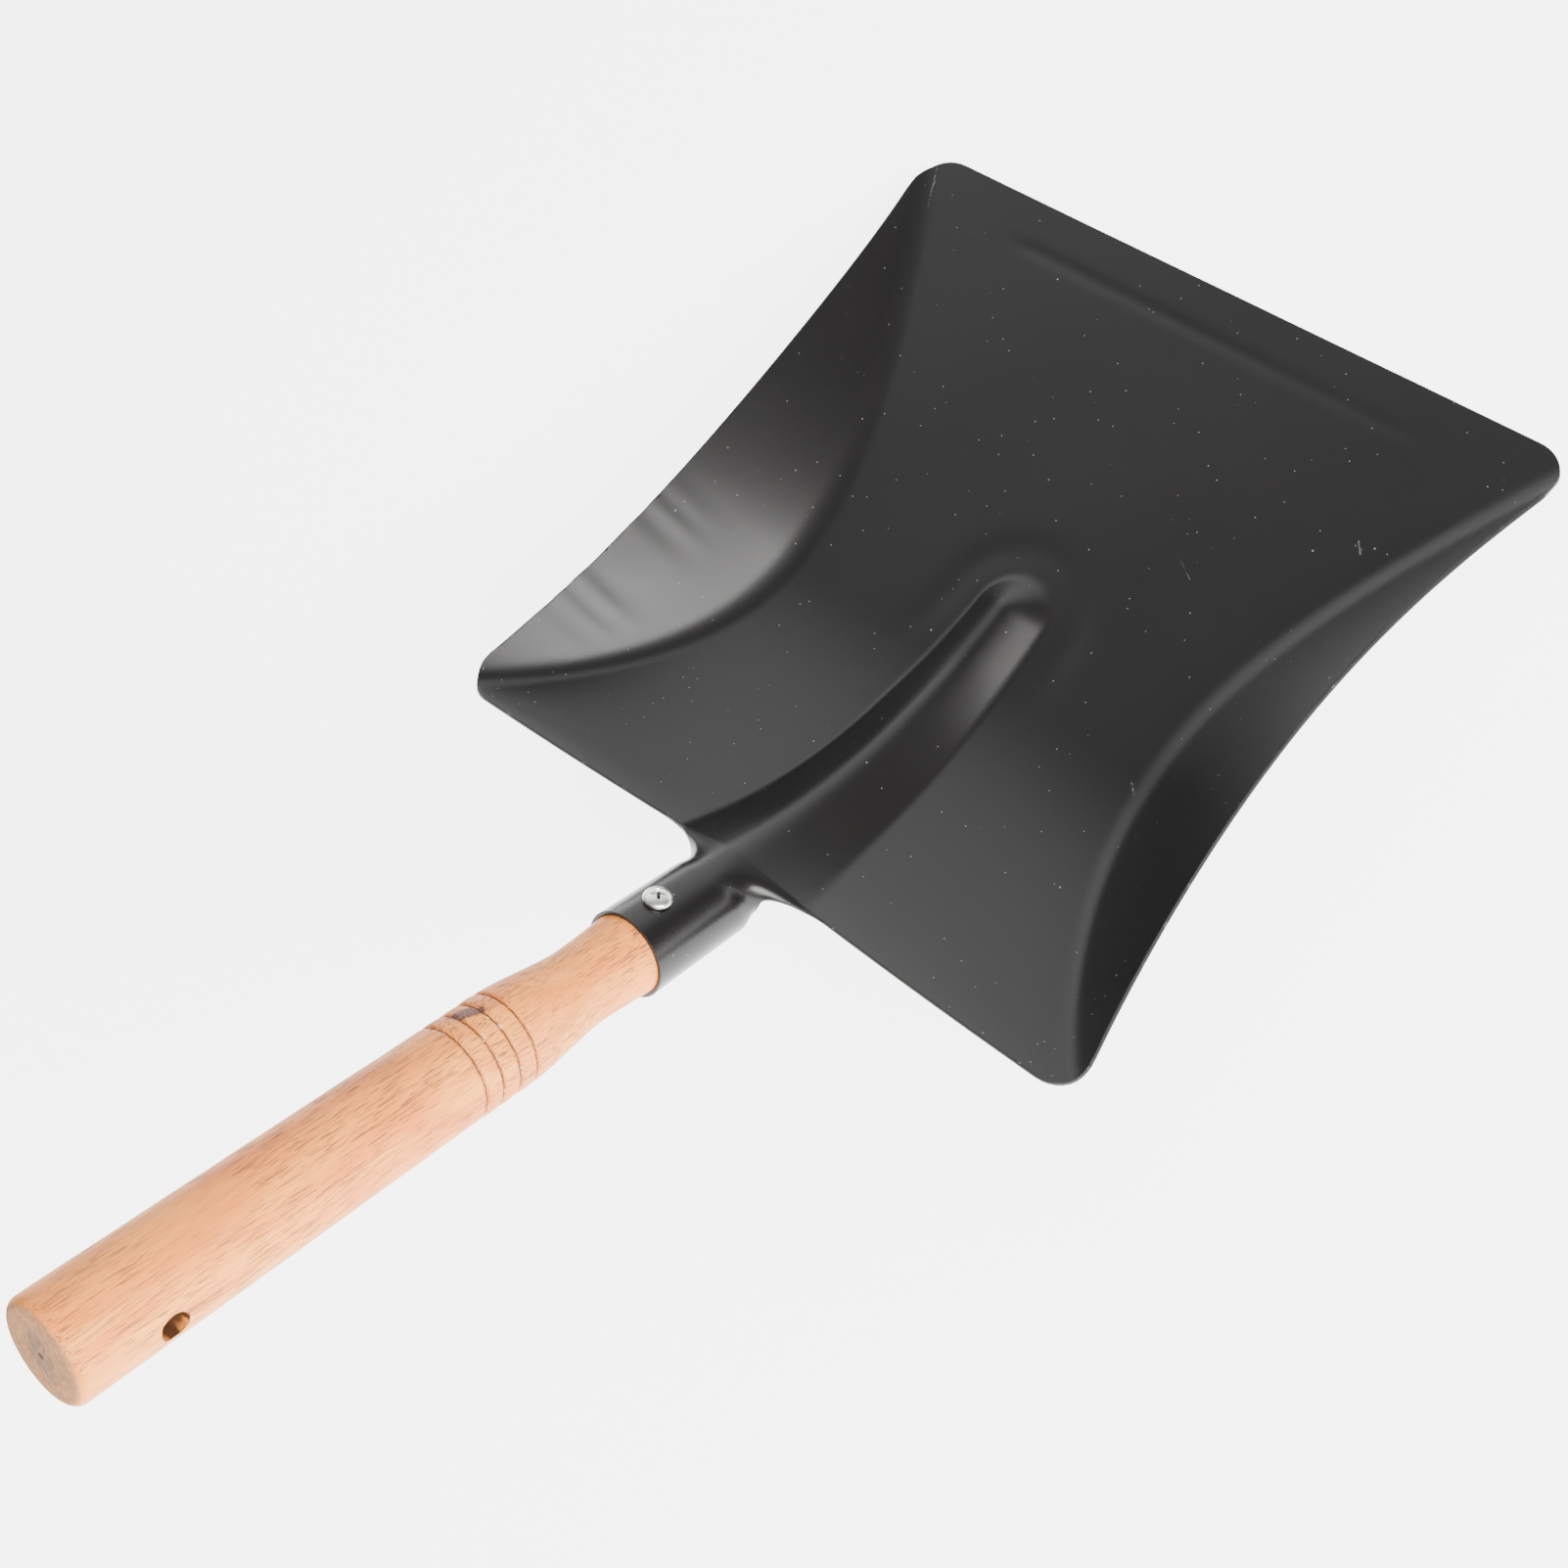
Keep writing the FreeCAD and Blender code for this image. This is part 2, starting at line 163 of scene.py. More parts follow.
# ---------- the drafting frame ----------
# Shapes are drawn from a point on the upper face of the flat floor, level with the rear corners.
TILT = math.radians(37.0)
AXIS = Vector((0, -math.cos(TILT), math.sin(TILT)))    # along the handle, away from the blade
AXIS_UP = Vector((0, math.sin(TILT), math.cos(TILT)))  # square to it, on the upper side
ACROSS = Vector((1, 0, 0))
AXIS_HEIGHT = 37.1 * MM     # height of the handle's axis at the rear corners
RESTING = 0.95 * MM         # the flat floor's height over the ground
STRIP = 0.26                # share of the blade's width that is rolled into the socket
SOCKET_START = -4.1 * MM    # where the socket leaves the blade, along the axis
SOCKET_BLEND = 18.0 * MM    # length over which the flat strip rolls up
NECK_FILLET = 14.0 * MM     # length of the round corners beside the neck
NECK_HALF = 12.0 * MM       # half the strip's width behind those corners
NECK = 0.56                 # share of the full turn at the neck
NECK_DENT = 0.7 * MM        # how far the press pushed the neck's right side out
WINGS = 4.0 * MM            # where the strip widens into two wings
CLOSED = 12.5 * MM          # where the wings close the tube
SEAM_GAP = 1.0 * MM         # open seam under the closed tube
RIM_HEIGHT = (37.0, 32.0, 27.5, 21.5, 11.5, 0.0)      # millimetres, at even stations
CREASE_HALF = (110.0, 78.0, 66.5, 73.5, 92.0, 116.0)  # millimetres, at the same stations
FLOOR_POWER = 2.0           # how the floor curves up to the rear edge
CREST_POWER = 1.7           # how the rib's crest curves up to the socket
DRIFT_START = 65 * MM       # where the rib starts to stand to the right
HALO_DEPTH = 0.30 * MM      # hollow that the press leaves round the rib's nose
WAVE_HEIGHT = 0.09 * MM     # slow waviness of the thin sheet
RIPPLE_HEIGHT = 0.19 * MM   # ripples on the left wall
RIPPLE_STEP = 2.1 * MM      # 1 radian of a ripple
SLOPE_STEP = 0.05 * MM      # step for measuring the sheet's slope
INSET = 0.1 * MM            # how far the rims stay inside the rear corners' width
FRONT_INSET = 0.02 * MM     # how far the front edge stays back
WORN_EDGE = 0.28 * MM       # width of the rounding of the sheet's edges
TURNS = 128                 # points round the handle


def origin(blade):
    """The drafting frame's origin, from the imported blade's box."""
    low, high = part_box("blade")
    return Vector((0, high.y - blade.reach, low.z + RESTING))


def through(values, q):
    """Smooth curve through evenly spaced values in millimetres, for q from 0 to 1."""
    last = len(values) - 1
    total = 0.0
    for i, value in enumerate(values):
        for j in range(last + 1):
            if j != i:
                value = value * (q * last - j) / (i - j)
        total = total + value
    return total * MM


def smooth(x, start, end):
    """0 before start, 1 after end, smooth in between."""
    t = np.clip((x - start) / (end - start), 0.0, 1.0)
    return t * t * (3 - 2 * t)


# ---------- the blade's upper face as a height over the drafting plane ----------
def rim_half(b, y):
    """Half the blade's width at y."""
    p = y / b.reach - 0.5
    bow = 2 * (b.front_half + b.rear_half) - 4 * b.waist_half
    return b.waist_half + bow * p * p + (b.front_half - b.rear_half) * p


def floor_fall(b, y):
    """Share of the floor's rear rise that is left at y."""
    return np.maximum(0.0, 1 - y / b.flat_start) ** FLOOR_POWER


def bend(past, soft):
    """0 before a bend, rising at 1 in 1 after it; soft is half the width of the bend."""
    curve = np.clip(past + soft, 0.0, 2 * soft)
    return curve * curve / (4 * soft) + np.maximum(0.0, past - soft)


def wall(b, x, y):
    """Height of the flared side wall above the floor, and how far up the wall a point is."""
    crease = through(CREASE_HALF, y / b.reach)
    share = bend(np.abs(x) - crease, b.crease) / bend(rim_half(b, y) - crease, b.crease)
    q = y / b.reach
    return (through(RIM_HEIGHT, q) - b.rear_rise * floor_fall(b, y)) * share, share


def rib(b, x, y):
    """Height of the pressed rib, with the shallow halo that the press leaves round its nose."""
    middle = (b.rear_rise + b.rear_crown) * floor_fall(b, y)
    crest = b.rib_low + (b.rib_top - b.rib_low) * np.maximum(0.0, 1 - y / b.rib_fade) ** CREST_POWER
    back = np.maximum(0.0, 1 - y / b.rib_nose)
    half = b.rib_front + b.rib_wider * back + b.rib_flare * back ** 6
    foot = b.foot_front + (b.foot_rear - b.foot_front) * back
    side = x - b.rib_drift * smooth(y, DRIFT_START, b.rib_nose)
    off = np.hypot(side, np.maximum(0.0, y - b.rib_nose) / b.rib_reach * half)
    fall = (np.hypot(off, b.rib_round) - b.rib_round) / (np.hypot(half, b.rib_round) - b.rib_round)
    ring = np.exp(-((off / half - 1.75) / 0.42) ** 2)
    halo = HALO_DEPTH * ring * smooth(y, 80 * MM, 105 * MM)
    return bend((crest - middle) * (1 - fall), foot) - halo


def bead(b, x, y):
    """Depth of the shallow bead behind the front edge; it fades towards its right end."""
    along = np.maximum(0.0, np.abs(x) - b.bead_half) / (8 * MM)
    across = (y - b.reach + b.bead_back) / b.bead_wide
    fade = 1 - 0.5 * smooth(x, -20 * MM, 70 * MM)
    return b.bead_deep * fade * np.exp(-across * across - along * along)


def unevenness(x, y, share):
    """Slight waviness of thin pressed sheet, and ripples where the left wall was drawn in."""
    slow = np.sin(41 * x + 23 * y + 0.6) * np.sin(33 * y - 17 * x)
    slow = slow + 0.6 * np.sin(70 * x - 52 * y + 1.9)
    drawn = np.exp(-((y - 54 * MM) / (26 * MM)) ** 2)
    drawn = drawn * smooth(-x, 80 * MM, 96 * MM) * smooth(share, 0.1, 0.7)
    ripple = np.sin(y / RIPPLE_STEP + 90 * x + 2.4 * np.sin(y / (3 * RIPPLE_STEP)))
    return WAVE_HEIGHT * slow + RIPPLE_HEIGHT * drawn * ripple


def height(b, x, y):
    """Height of the blade's upper face, without the bead."""
    crown = b.rear_crown * (1 - (x / rim_half(b, y)) ** 2)
    side, share = wall(b, x, y)
    waves = unevenness(x, y, share) * smooth(y, 0, 25 * MM)
    return (b.rear_rise + crown) * floor_fall(b, y) + side + rib(b, x, y) + waves


def corner(b, s, radius):
    """How far a rounded corner pulls an end edge back, at s from 0 (middle) to 1 (rim)."""
    start = 1 - radius / b.front_half
    turn = np.clip((np.abs(s) - start) / (1 - start), 0.0, 1.0)
    return radius * (1 - np.sqrt(1 - turn * turn))


def blade_points(b, s, v, depth):
    """Points depth below the upper face: s across from -1 to 1, v from rear to front."""
    rear = b.rear_bow * (1 - np.abs(s)) ** 2 + corner(b, s, b.rear_corner)
    front = b.reach - corner(b, s, b.front_corner)
    y = rear + v * (front - rear)
    x = s * rim_half(b, y)
    step = SLOPE_STEP
    slope_x = (height(b, x + step, y) - height(b, x - step, y)) / (2 * step)
    slope_y = (height(b, x, y + step) - height(b, x, y - step)) / (2 * step)
    normal = np.stack([-slope_x, -slope_y, np.ones_like(x)], -1)
    normal /= np.linalg.norm(normal, axis=-1, keepdims=True)
    line = bead(b, x, y) if depth == 0 else 0.0
    points = np.stack([x, y, height(b, x, y) - line], -1) - normal * depth
    widest = b.rear_half - INSET
    points[..., 0] = np.clip(points[..., 0], -widest, widest)
    points[..., 1] = np.minimum(points[..., 1], b.reach - FRONT_INSET)
    points[..., 2] = np.maximum(points[..., 2], -RESTING)
    return points


def socket_radius(b, t):
    """Outside radius of the socket at t."""
    return b.start_r + (t - SOCKET_START) / (b.mouth - SOCKET_START) * (b.mouth_r - b.start_r)


def neck_share(b, t):
    """Half the strip's flat width at t, as a share of the blade's half width at the rear edge."""
    past = np.minimum((t - SOCKET_START) / NECK_FILLET, 1.0)
    narrow = NECK_HALF / rim_half(b, 0)
    return narrow + (STRIP - narrow) * (1 - np.sqrt(past * (2 - past)))


def socket_points(b, u, v, depth):
    """Points of the socket: u around it from edge to edge, v from the blade to the mouth."""
    t = SOCKET_START + v * (b.mouth - SOCKET_START)
    r = socket_radius(b, t) - depth
    turned = NECK + (1 - NECK) * smooth(t, WINGS, CLOSED)
    angle = u * turned * (math.pi - SEAM_GAP / 2 / b.mouth_r)
    r = r + NECK_DENT * np.exp(-((angle - 1.75) / 0.35) ** 2 - ((t - 7 * MM) / (3.5 * MM)) ** 2)
    shift = (1 - v) * r * np.cos(angle) * math.tan(TILT)
    along = (t + shift)[..., None] * np.array(AXIS)
    up = (r * np.cos(angle))[..., None] * np.array(AXIS_UP)
    side = (r * np.sin(angle))[..., None] * np.array((1, 0, 0))
    rolled = np.array((0, 0, AXIS_HEIGHT)) + along + up + side
    flat = blade_points(b, u * neck_share(b, t), 0 * v, depth)
    flat = flat + (t - SOCKET_START)[..., None] * np.array(AXIS)
    return flat + (rolled - flat) * smooth(t, SOCKET_START, SOCKET_START + SOCKET_BLEND)[..., None]


# ---------- meshes ----------
def new_piece(name, points, faces, place, material, node):
    """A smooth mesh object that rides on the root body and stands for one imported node."""
    mesh = bpy.data.meshes.new(name)
    mesh.from_pydata([tuple(Vector(p) + place) for p in points], [], faces)
    mesh.validate()
    mesh.shade_smooth()
    piece = bpy.data.objects.new(name, mesh)
    bpy.context.scene.collection.objects.link(piece)
    mesh.materials.append(material)
    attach(piece, "root")
    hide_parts(node)
    return piece


def settle(piece):
    """Applies every modifier of a piece to its mesh."""
    graph = bpy.context.evaluated_depsgraph_get()
    mesh = bpy.data.meshes.new_from_object(piece.evaluated_get(graph))
    piece.modifiers.clear()
    piece.data = mesh


def cut(piece, cutter):
    """Takes a cutter's shape out of a piece and removes the cutter."""
    modifier = piece.modifiers.new("cut", "BOOLEAN")
    modifier.object = cutter
    modifier.operation = "DIFFERENCE"
    modifier.solver = "EXACT"
    bpy.context.view_layer.update()
    settle(piece)
    bpy.data.objects.remove(cutter)


def lathe(profile, turns, base, along, side, wobble=None):
    """Points and faces of a turned solid; its (distance, radius) pairs run from radius 0 to 0."""
    up = along.cross(side)
    points = [base + along * profile[0][0]]
    for t, r in profile[1:-1]:
        for k in range(turns):
            angle = 2 * math.pi * k / turns
            out = side * math.sin(angle) + up * math.cos(angle)
            extra = wobble(t, angle) if wobble else 0.0
            points.append(base + along * t + out * (r + extra))
    points.append(base + along * profile[-1][0])
    rings = len(profile) - 2
    faces = []
    for k in range(turns):
        after = (k + 1) % turns
        faces.append((0, 1 + after, 1 + k))
        for i in range(rings - 1):
            row = 1 + i * turns
            faces.append((row + k, row + after, row + turns + after, row + turns + k))
        last = 1 + (rings - 1) * turns
        faces.append((len(points) - 1, last + k, last + after))
    return points, faces


def outward(piece):
    """Turns every face of a closed mesh outward."""
    work = bmesh.new()
    work.from_mesh(piece.data)
    bmesh.ops.recalc_face_normals(work, faces=work.faces)
    work.to_mesh(piece.data)
    work.free()


def sheet_layers(b, across, along, around, strip):
    """Points of the sheet's upper and then its lower layer: the pan's grid, then the socket's."""
    s, v = np.meshgrid(across, along)
    u, w = np.meshgrid(np.array(across[strip]) / STRIP, around[1:])
    layers = []
    for depth in (0.0, b.sheet):
        pan = blade_points(b, s, v, depth)
        roll = socket_points(b, u, w, depth)
        layers.append(np.concatenate([pan.reshape(-1, 3), roll.reshape(-1, 3)]))
    return np.concatenate(layers)


def sheet_faces(columns, rows, roll_rows, first, last):
    """Quads of one layer: the pan's grid, then the socket's, which starts at the pan's row 0."""
    def pan(i, j):
        return i * columns + j

    def roll(i, j):
        return first + j if i == 0 else rows * columns + (i - 1) * wide + j

    wide = last - first + 1
    faces = [(pan(i, j), pan(i, j + 1), pan(i + 1, j + 1), pan(i + 1, j))
             for i in range(rows - 1) for j in range(columns - 1)]
    faces += [(roll(i + 1, j), roll(i + 1, j + 1), roll(i, j + 1), roll(i, j))
              for i in range(roll_rows - 1) for j in range(wide - 1)]
    return faces


def blade_grid(b):
    """Column and row positions of the sheet's grid, closer together at bends and edges."""
    turn = 1 - b.front_corner / b.front_half
    middle = np.linspace(-STRIP, STRIP, 75)
    side = np.linspace(STRIP, turn, 60)[1:]
    rim = turn + (1 - turn) * np.sin(np.linspace(0, math.pi / 2, 12))[1:]
    outer = np.concatenate([side, rim[:-1], [0.996, 1.0]])
    across = np.concatenate([-outer[::-1], middle, outer])
    along = np.concatenate([[0, 0.0018], np.linspace(0.006, 0.88, 118),
                            np.linspace(0.885, 0.98, 34), [0.99, 0.9982, 1.0]])
    around = np.concatenate([0.4 * np.linspace(0, 1, 36) ** 1.35,
                             np.linspace(0.43, 0.985, 20), [0.993, 1.0]])
    return across, along, around


def blade_piece(b, material):
    """The blade and its socket: two layers of one sheet, closed along every edge."""
    across, along, around = blade_grid(b)
    first = int(np.argmin(np.abs(across + STRIP)))
    last = int(np.argmin(np.abs(across - STRIP)))
    points = sheet_layers(b, across, along, around, slice(first, last + 1))
    upper = sheet_faces(len(across), len(along), len(around), first, last)
    below = len(points) // 2
    faces = upper + [tuple(below + k for k in reversed(face)) for face in upper]
    directed = {(face[k], face[(k + 1) % 4]) for face in upper for k in range(4)}
    border = sorted((start, end) for start, end in directed if (end, start) not in directed)
    faces += [(end, start, below + start, below + end) for start, end in border]
    piece = new_piece("blade_sheet", points, faces, origin(b), material, "blade")
    edge = piece.data.attributes.new("edge", "FLOAT", "POINT")
    on_border = {k for pair in border for k in pair}
    edge.data.foreach_set("value", [float(k % below in on_border) for k in range(len(points))])
    bevel = piece.modifiers.new("worn edge", "BEVEL")
    bevel.limit_method = "ANGLE"
    bevel.angle_limit = math.radians(50)
    bevel.width = WORN_EDGE
    bevel.segments = 2
    settle(piece)
    return piece


def handle_profile(b, h):
    """Distance and radius pairs of the turned handle."""
    inside = socket_radius(b, h.tenon) - b.sheet - h.clearance
    mouth_r = b.mouth_r - b.sheet - h.clearance
    pairs = [(h.tenon, 0.0), (h.tenon, inside - 1 * MM), (h.tenon + 1 * MM, inside)]
    last_groove = h.groove + 3 * h.groove_step

    def radius(t):
        if t < h.waist:
            left = 1 - (t - b.mouth) / (h.waist - b.mouth)
            return h.waist_r + (mouth_r - h.waist_r) * left ** 2
        if t < h.groove:
            return h.waist_r + (h.grip_r - h.waist_r) * float(smooth(t, h.waist - 2 * MM, h.groove))
        if t < last_groove:
            phase = ((t - h.groove) / h.groove_step) % 1.0
            return h.grip_r + 0.12 * MM * math.sin(math.pi * phase)
        return h.grip_r + (h.end_r - h.grip_r) * (t - last_groove) / (h.end - last_groove)

    fine_start = h.groove - 2.5 * MM
    stops = [b.mouth + k * 1.3 * MM for k in range(int((fine_start - b.mouth) / (1.3 * MM)))]
    stops += list(np.arange(fine_start, last_groove + 2.5 * MM, 0.3 * MM))
    stops += list(np.arange(last_groove + 3 * MM, h.end - h.end_round - 1 * MM, 1.5 * MM))
    pairs += [(float(t), radius(t)) for t in stops]
    start = h.end - h.end_round
    face_r = radius(start) - h.end_round
    for k in range(9):
        turn = math.pi / 2 * k / 8
        pairs.append((start + h.end_round * math.sin(turn), face_r + h.end_round * math.cos(turn)))
    pairs += [(h.end, face_r * k / 8) for k in range(7, 0, -1)]
    pairs.append((h.end, 0.0))
    return pairs


def turning_marks(h):
    """Radius change over the handle: rough grooves and the slight unevenness of turning."""
    def change(t, angle):
        round_about = Vector((math.cos(angle) * 2.0, math.sin(angle) * 2.0, t * 90))
        slow = 0.10 * MM * noise.noise(round_about)
        depth = 0.0
        for k in range(4):
            near = abs(t - h.groove - k * h.groove_step) / h.groove_half
            if near < 1.6:
                ragged = noise.noise(Vector((math.cos(angle) * 9, math.sin(angle) * 9, k * 5.0)))
                here = h.groove_deep * (0.75 + 0.5 * ragged) * math.exp(-near ** 2 * 2.2)
                depth = max(depth, here)
        return slow - depth if t > h.waist * 0.8 and t < h.end - h.end_round else 0.0
    return change


def handle_piece(b, h, material):
    """The turned handle with its hanging hole."""
    base = Vector((0, 0, AXIS_HEIGHT))
    points, faces = lathe(handle_profile(b, h), TURNS, base, AXIS, ACROSS, turning_marks(h))
    piece = new_piece("turned_handle", points, faces, origin(b), material, "handle")
    outward(piece)
    centre = base + AXIS * h.hang + origin(b)
    points, faces = lathe(hole_profile(h), 64, centre, ACROSS, AXIS, ragged_edge(h))
    cut(piece, plain_object("hole_cutter", points, faces))
    piece.data.set_sharp_from_angle(angle=math.radians(40))
    return piece


def hole_profile(h):
    """Distance and radius pairs of the drill's path, opening a little at both ends."""
    out = 1.5 * h.end_r
    lip = 0.9 * h.end_r
    pairs = [(-out, 0.0), (-out, h.hang_r + 0.5 * MM), (-lip, h.hang_r + 0.25 * MM)]
    pairs += [(lip * k / 6, h.hang_r) for k in range(-5, 6)]
    return pairs + [(lip, h.hang_r + 0.25 * MM), (out, h.hang_r + 0.5 * MM), (out, 0.0)]


def ragged_edge(h):
    """Radius change of the drilled hole: torn where the drill entered and left."""
    def change(t, angle):
        torn = noise.noise(Vector((math.cos(angle) * 1.8, math.sin(angle) * 1.8, 7.0 + t * 60)))
        return 0.9 * MM * torn * float(smooth(abs(t), 0.5 * h.end_r, 0.9 * h.end_r))
    return change


def plain_object(name, points, faces):
    """A closed helper mesh, with its faces outward."""
    mesh = bpy.data.meshes.new(name)
    mesh.from_pydata([tuple(p) for p in points], [], faces)
    item = bpy.data.objects.new(name, mesh)
    bpy.context.scene.collection.objects.link(item)
    outward(item)
    return item


def screw_seat(b, w):
    """Middle of the screw head's underside, in the drafting frame."""
    return Vector((0, 0, AXIS_HEIGHT)) + AXIS * w.place + AXIS_UP * socket_radius(b, w.place)


def screw_piece(b, w, material):
    """The pan-head screw: a domed head with a cross recess, on its threaded shank."""
    seat = screw_seat(b, w)
    pitch = 1.5 * MM
    tip = 3 * MM
    profile = [(-w.shank, 0.0), (-w.shank + tip, w.shank_r)]
    for k in range(int((w.shank - tip - 2 * MM) / pitch), 0, -1):
        low = -2 * MM - k * pitch
        profile += [(low + 0.5 * MM, w.shank_r), (low + 1.0 * MM, w.thread_r),
                    (low + 1.5 * MM, w.shank_r)]
    profile += [(0.0, w.shank_r), (0.0, w.head_r - 0.2 * MM), (0.08 * MM, w.head_r - 0.07 * MM),
                (0.3 * MM, w.head_r), (0.8 * MM, w.head_r), (0.95 * MM, w.head_r - 0.03 * MM)]
    for k in range(1, 14):
        turn = math.pi / 2 * k / 14
        rise = (w.head_h - 0.95 * MM) * math.sin(turn) ** 1.25
        profile.append((0.95 * MM + rise, (w.head_r - 0.03 * MM) * math.cos(turn)))
    profile.append((w.head_h, 0.0))
    points, faces = lathe(profile, 72, seat, AXIS_UP, ACROSS)
    piece = new_piece("socket_screw_pan_head", points, faces, origin(b), material,
                      "socket_screw")
    outward(piece)
    for turn in (45, 135):
        direction = Matrix.Rotation(math.radians(turn), 3, AXIS_UP) @ ACROSS
        cut(piece, recess_arm(w, origin(b) + seat, direction))
    piece.data.set_sharp_from_angle(angle=math.radians(35))
    return piece


def recess_arm(w, seat, direction):
    """Cutter for one arm of the cross recess, narrower at its bottom."""
    beside = AXIS_UP.cross(direction)
    points = []
    for up, share in ((w.head_h - w.deep, 0.45), (w.head_h + w.deep, 1.5)):
        for i, j in ((-1, -1), (1, -1), (1, 1), (-1, 1)):
            out = direction * (i * w.arm * share) + beside * (j * w.slot / 2 * share)
            points.append(seat + AXIS_UP * up + out)
    faces = [(0, 1, 2, 3), (4, 5, 6, 7)]
    faces += [(k, (k + 1) % 4, 4 + (k + 1) % 4, 4 + k) for k in range(4)]
    return plain_object("recess_cutter", points, faces)


# ---------- shader maths ----------
class Field:
    """An output socket of a look; expressions on fields add their Math nodes."""

    def __init__(self, look, node, out):
        self.look = look
        self.socket = node.outputs[out]

    def __add__(self, other):
        return self.look.maths("ADD", self, other)

    def __sub__(self, other):
        return self.look.maths("SUBTRACT", self, other)

    def __rsub__(self, other):
        return self.look.maths("SUBTRACT", other, self)

    def __mul__(self, other):
        return self.look.maths("MULTIPLY", self, other)

    def __truediv__(self, other):
        return self.look.maths("DIVIDE", self, other)

    def __pow__(self, other):
        return self.look.maths("POWER", self, other)

    __radd__ = __add__
    __rmul__ = __mul__


class Look:
    """The nodes of one material or of the world."""

    def __init__(self, tree):
        self.tree = tree
        self.tree.nodes.clear()

    def node(self, kind, settings=None, sockets=None, out=0):
        """Adds a node: its settings first, then the values or links of its sockets."""
        node = self.tree.nodes.new(kind)
        for name, value in (settings or {}).items():
            setattr(node, name, value)
        for name, value in (sockets or {}).items():
            if isinstance(value, Field):
                self.tree.links.new(value.socket, node.inputs[name])
            else:
                node.inputs[name].default_value = value
        return Field(self, node, out) if node.outputs else node

    def maths(self, operation, *values):
        """A Math node on fields and numbers."""
        return self.node("ShaderNodeMath", {"operation": operation}, dict(enumerate(values)))

    def vector(self, operation, *values, out=0):
        """A Vector Math node."""
        inputs = dict(enumerate(values))
        return self.node("ShaderNodeVectorMath", {"operation": operation}, inputs, out)

    def dot(self, a, direction):
        """How far a vector reaches along a direction."""
        return self.vector("DOT_PRODUCT", a, tuple(direction), out="Value")

    def size(self, a):
        """A vector's length."""
        return self.vector("LENGTH", a, out="Value")

    def join(self, x, y, z):
        """A vector from three fields."""
        return self.node("ShaderNodeCombineXYZ", None, {0: x, 1: y, 2: z})

    def fade(self, value, start, end):
        """Goes smoothly from 0 at start to 1 at end, whichever of the two is larger."""
        low, high = (0.0, 1.0) if start < end else (1.0, 0.0)
        return self.node("ShaderNodeMapRange", {"interpolation_type": "SMOOTHSTEP"},
                         {0: value, 1: min(start, end), 2: max(start, end), 3: low, 4: high})

    def noise(self, at, scale, detail=2.0, roughness=0.5, distortion=0.0):
        """Cloudy noise from 0 to 1, with scale in blobs per metre."""
        return self.node("ShaderNodeTexNoise", None,
                         {"Vector": at, "Scale": scale, "Detail": detail, "Roughness": roughness,
                          "Distortion": distortion})

    def mix(self, factor, a, b):
        """A colour between two colours."""
        a, b = (value if isinstance(value, Field) else (*value, 1.0) for value in (a, b))
        return self.node("ShaderNodeMix", {"data_type": "RGBA"}, {0: factor, 6: a, 7: b}, 2)

    def bump(self, height, distance):
        """A normal from a height field; distance is the height of one unit, in metres."""
        return self.node("ShaderNodeBump", None,
                         {"Height": height, "Distance": distance, "Strength": 1.0})

    def surface(self, sockets):
        """The Principled shader and the material's output."""
        shader = self.node("ShaderNodeBsdfPrincipled", None, sockets)
        self.node("ShaderNodeOutputMaterial", None, {"Surface": shader})


def new_look(name):
    """A new material and its empty look."""
    material = bpy.data.materials.new(name)
    material.use_nodes = True
    return material, Look(material.node_tree)


def drafting_place(look, b):
    """The shaded point in the drafting frame."""
    here = look.node("ShaderNodeTexCoord", None, None, "Object")
    return look.vector("SUBTRACT", here, tuple(origin(b)))


# ---------- the coat ----------
def specks(look, place, scale, size):
    """Sparse dust: small balls scattered through space, seen where the surface cuts them."""
    ball = look.node("ShaderNodeTexVoronoi", None,
                     {"Vector": place, "Scale": scale, "Randomness": 1.0}, "Distance")
    return look.fade(ball, size * scale, 0.45 * size * scale)


def scratch(look, place, start, end, width):
    """A fine line from start to end, both in millimetres."""
    start = Vector(start) * MM
    line = Vector(end) * MM - start
    off = look.vector("SUBTRACT", place, tuple(start))
    share = look.node("ShaderNodeMath", {"operation": "MULTIPLY", "use_clamp": True},
                      {0: look.dot(off, line), 1: 1 / line.length_squared})
    foot = look.node("ShaderNodeVectorMath", {"operation": "SCALE"}, {0: tuple(line), 3: share})
    return look.fade(look.size(look.vector("SUBTRACT", off, foot)), width, 0.35 * width)


EDGE_COAT = (0.035, 0.034, 0.033)      # thin coat on the sheet's edges
SCRATCHED = (0.26, 0.25, 0.245)        # bottom of a scratch
BARE_STEEL = (0.36, 0.35, 0.34)        # steel under a chip
# Start, end and width of each scratch, in millimetres.
SCRATCHES = (
    ((-109.0, 220.0, 0.0), (-103.0, 207.0, 0.0), 0.30),
    ((-106.5, 216.0, 0.0), (-105.0, 206.0, 0.0), 0.22),
    ((-89.0, 70.0, 20.0), (-84.0, 60.0, 18.5), 0.28),
    ((-83.0, 152.0, 6.5), (-77.0, 138.0, 4.0), 0.28),
    ((-84.5, 147.0, 7.0), (-79.5, 140.5, 5.0), 0.22),
    ((75.0, 176.0, 0.0), (77.5, 173.0, 0.0), 0.45),
    ((62.0, 84.5, 0.0), (64.5, 82.0, 0.0), 0.45),
    ((8.4, -7.1, 16.7), (8.6, -10.4, 19.0), 0.25),
    ((8.4, -7.1, 16.7), (9.9, -12.8, 19.0), 0.25),
    ((11.0, -31.5, 31.5), (11.9, -35.0, 29.0), 0.30),
    ((-58.0, 120.0, 0.0), (-46.0, 125.0, 0.0), 0.12),
    ((30.0, 150.0, 0.0), (41.0, 143.0, 0.0), 0.11),
)
